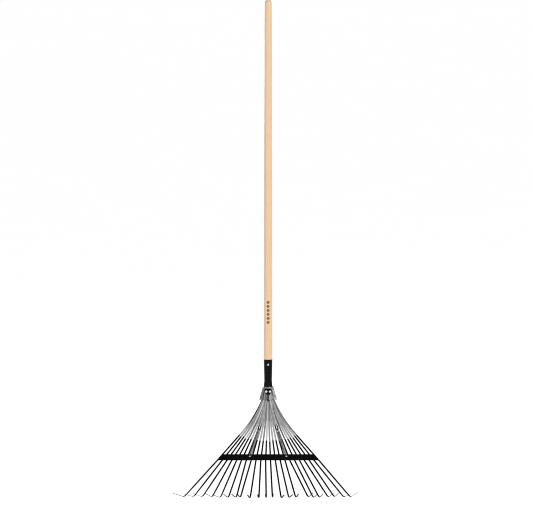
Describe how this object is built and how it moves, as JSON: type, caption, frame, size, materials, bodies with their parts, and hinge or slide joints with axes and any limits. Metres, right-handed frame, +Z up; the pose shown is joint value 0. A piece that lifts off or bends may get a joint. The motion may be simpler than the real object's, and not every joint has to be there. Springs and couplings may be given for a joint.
{
  "type": "leaf rake",
  "caption": "Leaf rake with a long wooden handle, a black socket and a fan of flat spring tines with bent tips, tied by a crossbar and two coil springs.",
  "frame": {"origin": "on the handle's axis, at the middle of the straight grip below its top", "axes": "+Z up along the handle towards its rounded top, +Y towards the side the tine hooks point to, +X to the right when the springs face the viewer"},
  "size_m": [0.5797, 0.1359, 1.5506],
  "materials": {
    "handle_wood": "clear satin lacquer over pale, straight-grained hardwood",
    "socket_black": "gloss black paint",
    "clamp_zinc": "galvanised, semi-bright with faint spangle",
    "tine_steel": "zinc-grey spring steel above, dipped in black paint from just above the crossbar to the tips",
    "crossbar_black": "semi-gloss black paint",
    "brace_wire": "dark oiled steel wire",
    "spring_steel": "grey zinc-plated spring wire",
    "rivet_steel": "bright plated steel"
  },
  "bodies": {
    "head": {"handle": "handle_wood", "socket": "socket_black", "socket_nail": "rivet_steel", "head_rivets": "rivet_steel", "clamp_front": "clamp_zinc", "clamp_back": "clamp_zinc", "brace_yoke": "brace_wire"},
    "fan": {"tine_01": "tine_steel", "tine_02": "tine_steel", "tine_03": "tine_steel", "tine_04": "tine_steel", "tine_05": "tine_steel", "tine_06": "tine_steel", "tine_07": "tine_steel", "tine_08": "tine_steel", "tine_09": "tine_steel", "tine_10": "tine_steel", "tine_11": "tine_steel", "tine_12": "tine_steel", "tine_13": "tine_steel", "tine_14": "tine_steel", "tine_15": "tine_steel", "tine_16": "tine_steel", "tine_17": "tine_steel", "tine_18": "tine_steel", "tine_19": "tine_steel", "tine_20": "tine_steel", "tine_21": "tine_steel", "tine_22": "tine_steel", "crossbar_front": "crossbar_black", "crossbar_back": "crossbar_black"},
    "spring_left": {"brace_spring_left": "spring_steel"},
    "spring_right": {"brace_spring_right": "spring_steel"}
  },
  "joints": [
    {"name": "tine_flex", "type": "hinge", "parent": "head", "child": "fan", "pos_m": [0, 0.00863, -1.07059], "axis": [1, 0, 0], "range_deg": [-10, 4], "stiffness_Nm_per_rad": 70, "deforming": ["tine_01", "tine_02", "tine_03", "tine_04", "tine_05", "tine_06", "tine_07", "tine_08", "tine_09", "tine_10", "tine_11", "tine_12", "tine_13", "tine_14", "tine_15", "tine_16", "tine_17", "tine_18", "tine_19", "tine_20", "tine_21", "tine_22", "brace_spring_left", "brace_spring_right"]},
    {"name": "spring_left_pivot", "type": "hinge", "parent": "head", "child": "spring_left", "pos_m": [-0.02849, 0.0084, -1.16468], "axis": [1, 0, 0], "range_deg": [-21.4, 9.7]},
    {"name": "spring_right_pivot", "type": "hinge", "parent": "head", "child": "spring_right", "pos_m": [0.02849, 0.0084, -1.16468], "axis": [1, 0, 0], "range_deg": [-21.4, 9.7]}
  ],
  "couplings": [
    {"joint": "spring_left_pivot", "follows": "tine_flex", "ratio": 1.936},
    {"joint": "spring_right_pivot", "follows": "tine_flex", "ratio": 1.936}
  ]
}
